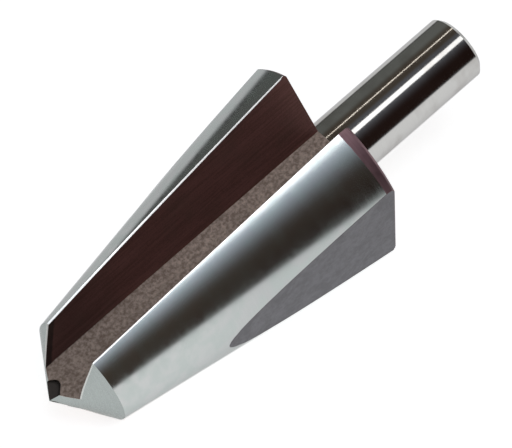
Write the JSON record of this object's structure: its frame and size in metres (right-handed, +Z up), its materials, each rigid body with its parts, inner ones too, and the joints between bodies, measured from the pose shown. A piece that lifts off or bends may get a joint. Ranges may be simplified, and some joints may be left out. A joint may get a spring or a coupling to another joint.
{
  "type": "cone drill bit",
  "caption": "Tapered drill bit for sheet metal: pointed conical head with straight flutes and a plain round shank.",
  "frame": {"origin": "middle of the bit as it lies, on the surface it rests on", "axes": "+X from the point towards the shank along the surface, +Z up; the bit's own axis rises 8.95 degrees towards the shank, because it rests on the edges of one flute"},
  "size_m": [0.0738, 0.0274, 0.0279],
  "materials": {
    "tool_steel": "ground and polished high-speed steel, bright lands and shank, darker flutes"
  },
  "bodies": {
    "root": {"cone_drill": "tool_steel"}
  },
  "joints": []
}
